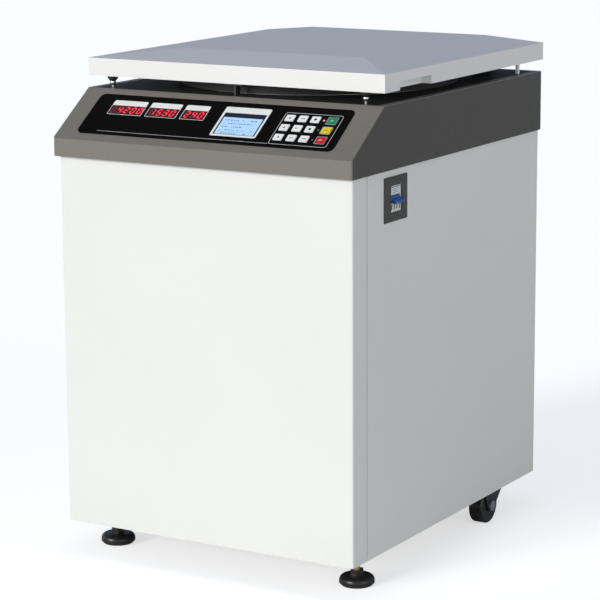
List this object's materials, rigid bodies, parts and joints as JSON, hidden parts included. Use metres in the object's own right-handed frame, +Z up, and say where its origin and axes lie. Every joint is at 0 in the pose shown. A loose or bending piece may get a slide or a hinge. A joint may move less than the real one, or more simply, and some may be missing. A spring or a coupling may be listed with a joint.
{
  "type": "refrigerated centrifuge",
  "caption": "Floor-standing refrigerated centrifuge with a hinged lid, swing-out rotor, sloping control face, levelling feet and rear casters.",
  "frame": {"origin": "on the floor, under the middle of the machine's overall box", "axes": "+Z up, the front faces -Y, +X to the right as seen from the front"},
  "size_m": [0.566, 0.6786, 0.8381],
  "materials": {
    "panel_white": "fine powder coat",
    "console_grey": "textured powder coat",
    "lid_paint": "smooth powder coat",
    "stainless": "drawn and polished",
    "seal_rubber": "matt",
    "foam": "foamed in place",
    "guard_steel": "primed",
    "face_film": "satin film",
    "display_glass": "clear front",
    "board": "soldered",
    "escutcheon": "moulded",
    "breaker_case": "moulded",
    "toggle_blue": "moulded",
    "motor_iron": "painted",
    "zinc_steel": "zinc plated",
    "lock_case": "moulded",
    "bumper_chrome": "plated",
    "black_steel": "black enamel",
    "fin_aluminium": "mill finish",
    "fan_plastic": "moulded",
    "copper": "drawn tube",
    "drive_case": "moulded",
    "inlet_black": "moulded",
    "shaft_steel": "ground",
    "rotor_aluminium": "anodised",
    "foot_rubber": "moulded",
    "wheel_nylon": "moulded",
    "key_white": "moulded",
    "key_green": "moulded",
    "key_yellow": "moulded",
    "key_red": "moulded"
  },
  "bodies": {
    "cabinet": {"base_plate": "guard_steel", "frame": "guard_steel", "front_panel": "panel_white", "left_panel": "panel_white", "right_panel": "panel_white", "rear_panel": "panel_white", "panel_screws": "zinc_steel", "top_console": "console_grey", "control_face": "face_film", "displays": "display_glass", "control_board": "board", "breaker_escutcheon": "escutcheon", "circuit_breaker": "breaker_case", "chamber_bowl": "stainless", "chamber_seal": "seal_rubber", "insulation_jacket": "foam", "guard_ring": "guard_steel", "drive_motor": "motor_iron", "motor_mounts": "seal_rubber", "hinge_brackets": "zinc_steel", "lock_housing": "lock_case", "lid_bumpers": "bumper_chrome", "caster_forks": "black_steel", "compressor": "black_steel", "condenser": "fin_aluminium", "refrigerant_pipes": "copper", "inverter_unit": "drive_case", "power_inlet": "inlet_black"},
    "lid": {"lid_shell": "lid_paint", "lid_liner": "stainless", "lid_foam": "foam", "hinge_arms": "zinc_steel", "lid_striker": "lock_case", "rear_rests": "lid_paint"},
    "lock": {"lock_bolt": "zinc_steel"},
    "toggle": {"breaker_toggle": "toggle_blue"},
    "rotor": {"drive_shaft": "shaft_steel", "rotor_head": "rotor_aluminium", "rotor_nut": "shaft_steel"},
    "fan": {"condenser_fan": "fan_plastic"},
    "left_leveller": {"left_foot": "foot_rubber"},
    "right_leveller": {"right_foot": "foot_rubber"},
    "left_roller": {"left_wheel": "wheel_nylon"},
    "right_roller": {"right_wheel": "wheel_nylon"},
    "swing_bucket_1": {"bucket_1": "rotor_aluminium"},
    "swing_bucket_2": {"bucket_2": "rotor_aluminium"},
    "swing_bucket_3": {"bucket_3": "rotor_aluminium"},
    "swing_bucket_4": {"bucket_4": "rotor_aluminium"},
    "push_key_1": {"key_1": "key_white"},
    "push_key_2": {"key_2": "key_white"},
    "push_key_3": {"key_3": "key_white"},
    "push_key_4": {"key_4": "key_green"},
    "push_key_5": {"key_5": "key_white"},
    "push_key_6": {"key_6": "key_white"},
    "push_key_7": {"key_7": "key_white"},
    "push_key_8": {"key_8": "key_yellow"},
    "push_key_9": {"key_9": "key_white"},
    "push_key_10": {"key_10": "key_white"},
    "push_key_11": {"key_11": "key_white"},
    "push_key_12": {"key_12": "key_red"}
  },
  "joints": [
    {"name": "lid_hinge", "type": "hinge", "parent": "cabinet", "child": "lid", "pos_m": [0, 0.3244, 0.7884], "axis": [-1, 0, 0], "range_deg": [0, 75]},
    {"name": "lock_slide", "type": "slide", "parent": "cabinet", "child": "lock", "axis": [-1, 0, 0], "range_m": [0, 0.008]},
    {"name": "toggle_turn", "type": "hinge", "parent": "cabinet", "child": "toggle", "pos_m": [0.27, -0.1926, 0.628], "axis": [0, -1, 0], "range_deg": [0, 36]},
    {"name": "rotor_spin", "type": "hinge", "parent": "cabinet", "child": "rotor", "pos_m": [0, 0.0424, 0.6], "axis": [0, 0, 1], "continuous": true},
    {"name": "fan_spin", "type": "hinge", "parent": "cabinet", "child": "fan", "pos_m": [0.09, 0.26, 0.21], "axis": [0, 1, 0], "continuous": true},
    {"name": "left_foot_screw", "type": "slide", "parent": "cabinet", "child": "left_leveller", "axis": [0, 0, -1], "range_m": [0, 0.012]},
    {"name": "right_foot_screw", "type": "slide", "parent": "cabinet", "child": "right_leveller", "axis": [0, 0, -1], "range_m": [0, 0.012]},
    {"name": "left_wheel_spin", "type": "hinge", "parent": "cabinet", "child": "left_roller", "pos_m": [-0.256, 0.1684, 0.0315], "axis": [1, 0, 0], "continuous": true},
    {"name": "right_wheel_spin", "type": "hinge", "parent": "cabinet", "child": "right_roller", "pos_m": [0.256, 0.1684, 0.0315], "axis": [1, 0, 0], "continuous": true},
    {"name": "bucket_swing_1", "type": "hinge", "parent": "rotor", "child": "swing_bucket_1", "pos_m": [0.112, 0.0424, 0.6486], "axis": [0, 1, 0], "range_deg": [-90, 0]},
    {"name": "bucket_swing_2", "type": "hinge", "parent": "rotor", "child": "swing_bucket_2", "pos_m": [0, 0.1544, 0.6486], "axis": [-1, 0, 0], "range_deg": [-90, 0]},
    {"name": "bucket_swing_3", "type": "hinge", "parent": "rotor", "child": "swing_bucket_3", "pos_m": [-0.112, 0.0424, 0.6486], "axis": [0, -1, 0], "range_deg": [-90, 0]},
    {"name": "bucket_swing_4", "type": "hinge", "parent": "rotor", "child": "swing_bucket_4", "pos_m": [0, -0.0696, 0.6486], "axis": [1, 0, 0], "range_deg": [-90, 0]},
    {"name": "key_press_1", "type": "slide", "parent": "cabinet", "child": "push_key_1", "axis": [0, 0.5752, -0.818], "range_m": [0, 0.0005], "stiffness_N_per_m": 400, "springref_m": -0.002},
    {"name": "key_press_2", "type": "slide", "parent": "cabinet", "child": "push_key_2", "axis": [0, 0.5752, -0.818], "range_m": [0, 0.0005], "stiffness_N_per_m": 400, "springref_m": -0.002},
    {"name": "key_press_3", "type": "slide", "parent": "cabinet", "child": "push_key_3", "axis": [0, 0.5752, -0.818], "range_m": [0, 0.0005], "stiffness_N_per_m": 400, "springref_m": -0.002},
    {"name": "key_press_4", "type": "slide", "parent": "cabinet", "child": "push_key_4", "axis": [0, 0.5752, -0.818], "range_m": [0, 0.0005], "stiffness_N_per_m": 400, "springref_m": -0.002},
    {"name": "key_press_5", "type": "slide", "parent": "cabinet", "child": "push_key_5", "axis": [0, 0.5752, -0.818], "range_m": [0, 0.0005], "stiffness_N_per_m": 400, "springref_m": -0.002},
    {"name": "key_press_6", "type": "slide", "parent": "cabinet", "child": "push_key_6", "axis": [0, 0.5752, -0.818], "range_m": [0, 0.0005], "stiffness_N_per_m": 400, "springref_m": -0.002},
    {"name": "key_press_7", "type": "slide", "parent": "cabinet", "child": "push_key_7", "axis": [0, 0.5752, -0.818], "range_m": [0, 0.0005], "stiffness_N_per_m": 400, "springref_m": -0.002},
    {"name": "key_press_8", "type": "slide", "parent": "cabinet", "child": "push_key_8", "axis": [0, 0.5752, -0.818], "range_m": [0, 0.0005], "stiffness_N_per_m": 400, "springref_m": -0.002},
    {"name": "key_press_9", "type": "slide", "parent": "cabinet", "child": "push_key_9", "axis": [0, 0.5752, -0.818], "range_m": [0, 0.0005], "stiffness_N_per_m": 400, "springref_m": -0.002},
    {"name": "key_press_10", "type": "slide", "parent": "cabinet", "child": "push_key_10", "axis": [0, 0.5752, -0.818], "range_m": [0, 0.0005], "stiffness_N_per_m": 400, "springref_m": -0.002},
    {"name": "key_press_11", "type": "slide", "parent": "cabinet", "child": "push_key_11", "axis": [0, 0.5752, -0.818], "range_m": [0, 0.0005], "stiffness_N_per_m": 400, "springref_m": -0.002},
    {"name": "key_press_12", "type": "slide", "parent": "cabinet", "child": "push_key_12", "axis": [0, 0.5752, -0.818], "range_m": [0, 0.0005], "stiffness_N_per_m": 400, "springref_m": -0.002}
  ]
}
